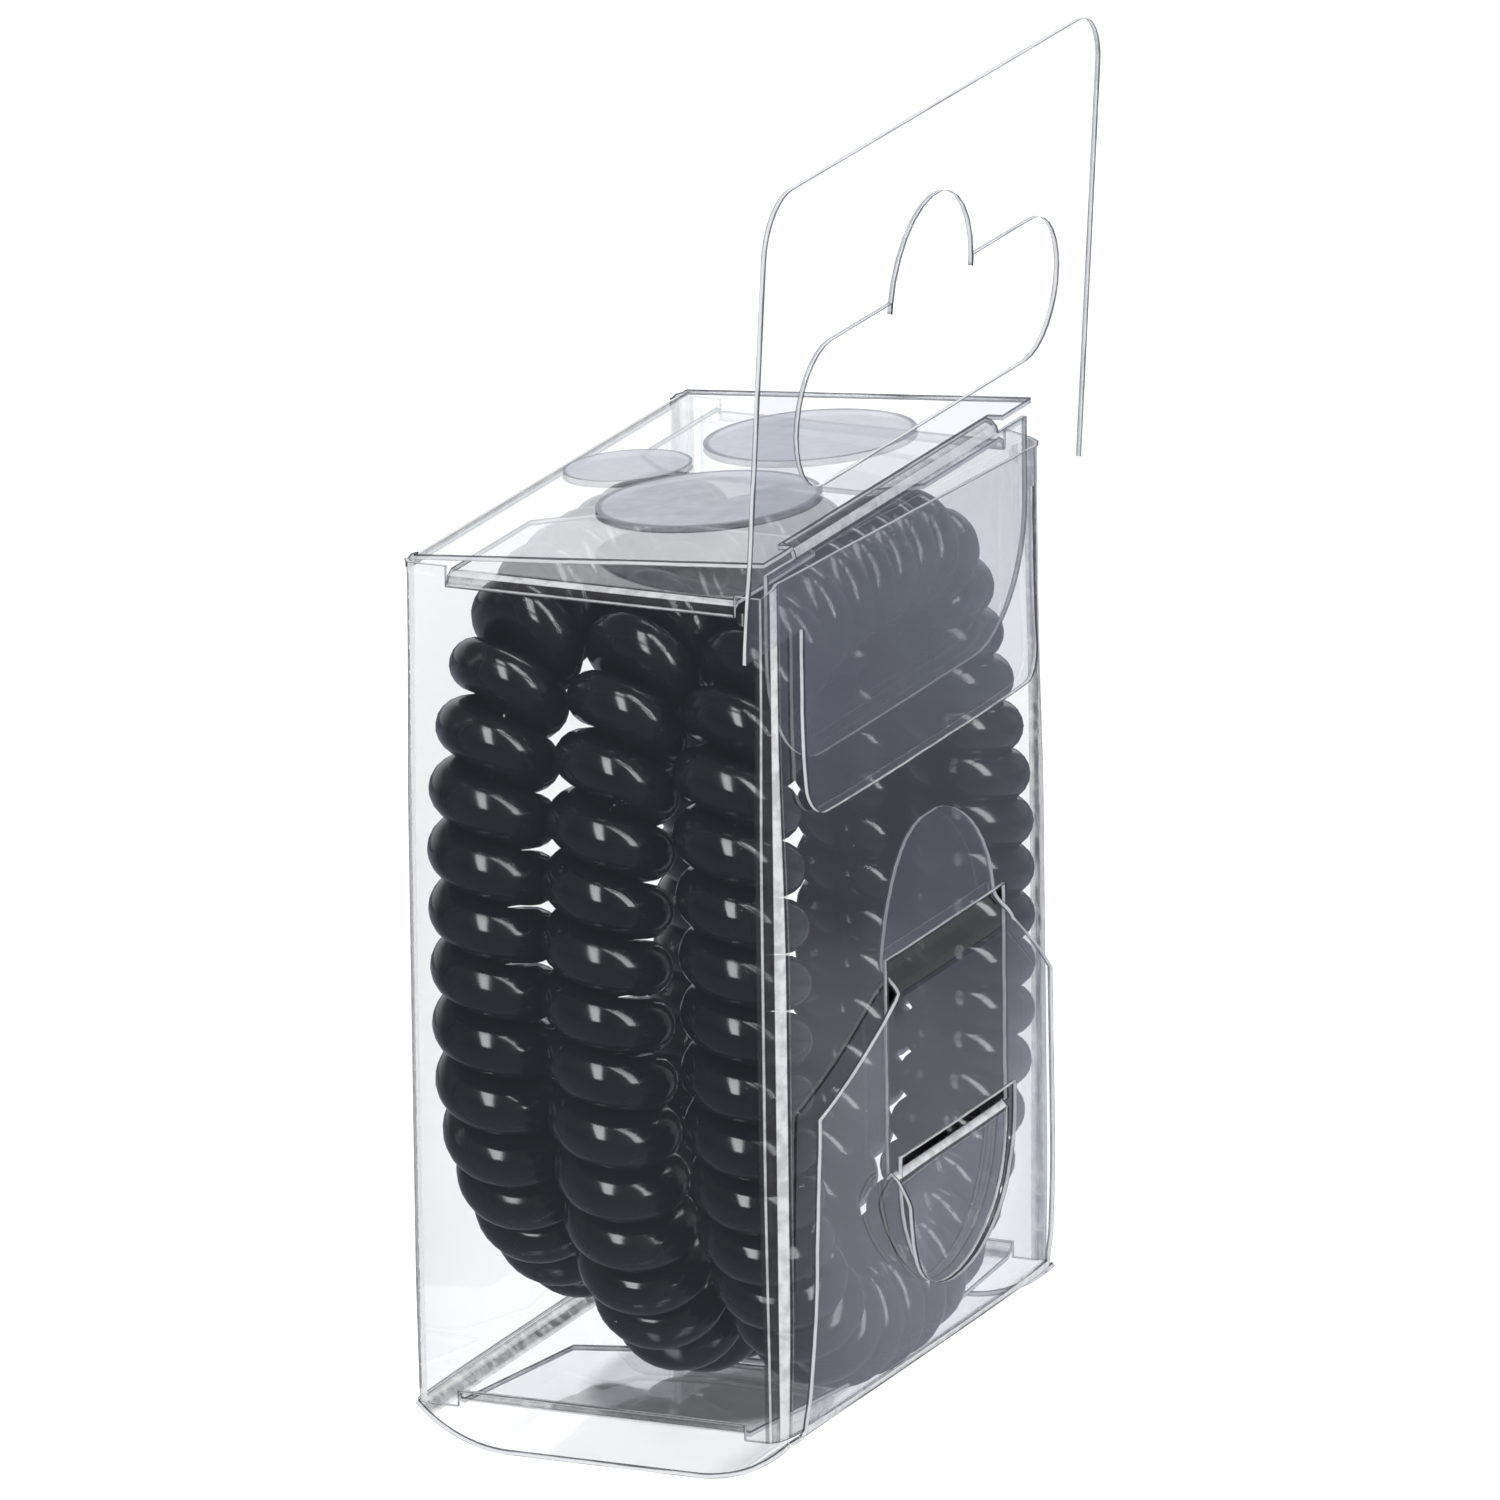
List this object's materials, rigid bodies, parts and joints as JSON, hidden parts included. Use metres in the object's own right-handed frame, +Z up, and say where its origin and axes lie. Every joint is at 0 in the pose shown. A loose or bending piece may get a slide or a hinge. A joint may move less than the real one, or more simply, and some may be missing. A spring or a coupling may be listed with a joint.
{
  "type": "spiral hair ties in a clear hang box",
  "caption": "Glossy black spiral hair ties, squeezed to ovals, side by side in a clear folded box with a hang tab and a hinged tuck lid.",
  "frame": {"origin": "middle of the box, on the surface that its sagging bottom rests on", "axes": "+X across the row of ties, towards the panel with the hang tab; +Y along the depth of the box, in the plane of each tie; +Z up"},
  "size_m": [0.0228, 0.043, 0.0697],
  "materials": {
    "clear_sheet": "clear polyester sheet, glossy, creased",
    "black_coil": "glossy moulded thermoplastic polyurethane"
  },
  "bodies": {
    "box": {"sleeve": "clear_sheet", "top_dust_flap_near": "clear_sheet", "top_dust_flap_far": "clear_sheet", "bottom_dust_flap_near": "clear_sheet", "bottom_dust_flap_far": "clear_sheet", "bottom_lock_flap": "clear_sheet", "lock_tab": "clear_sheet", "hang_tab": "clear_sheet", "hair_tie_1": "black_coil", "hair_tie_2": "black_coil", "hair_tie_3": "black_coil"},
    "lid": {"lid": "clear_sheet"},
    "tuck": {"tuck_flap": "clear_sheet"}
  },
  "joints": [
    {"name": "lid_hinge", "type": "hinge", "parent": "box", "child": "lid", "pos_m": [-0.0105, 0, 0.04705], "axis": [0, -1, 0], "range_deg": [-4.4, 100]},
    {"name": "tuck_fold", "type": "hinge", "parent": "lid", "child": "tuck", "pos_m": [0.0091, 0, 0.04906], "axis": [0, 1, 0], "range_deg": [-3, 62]}
  ],
  "couplings": [
    {"joint": "tuck_fold", "follows": "lid_hinge", "ratio": 0.6}
  ]
}
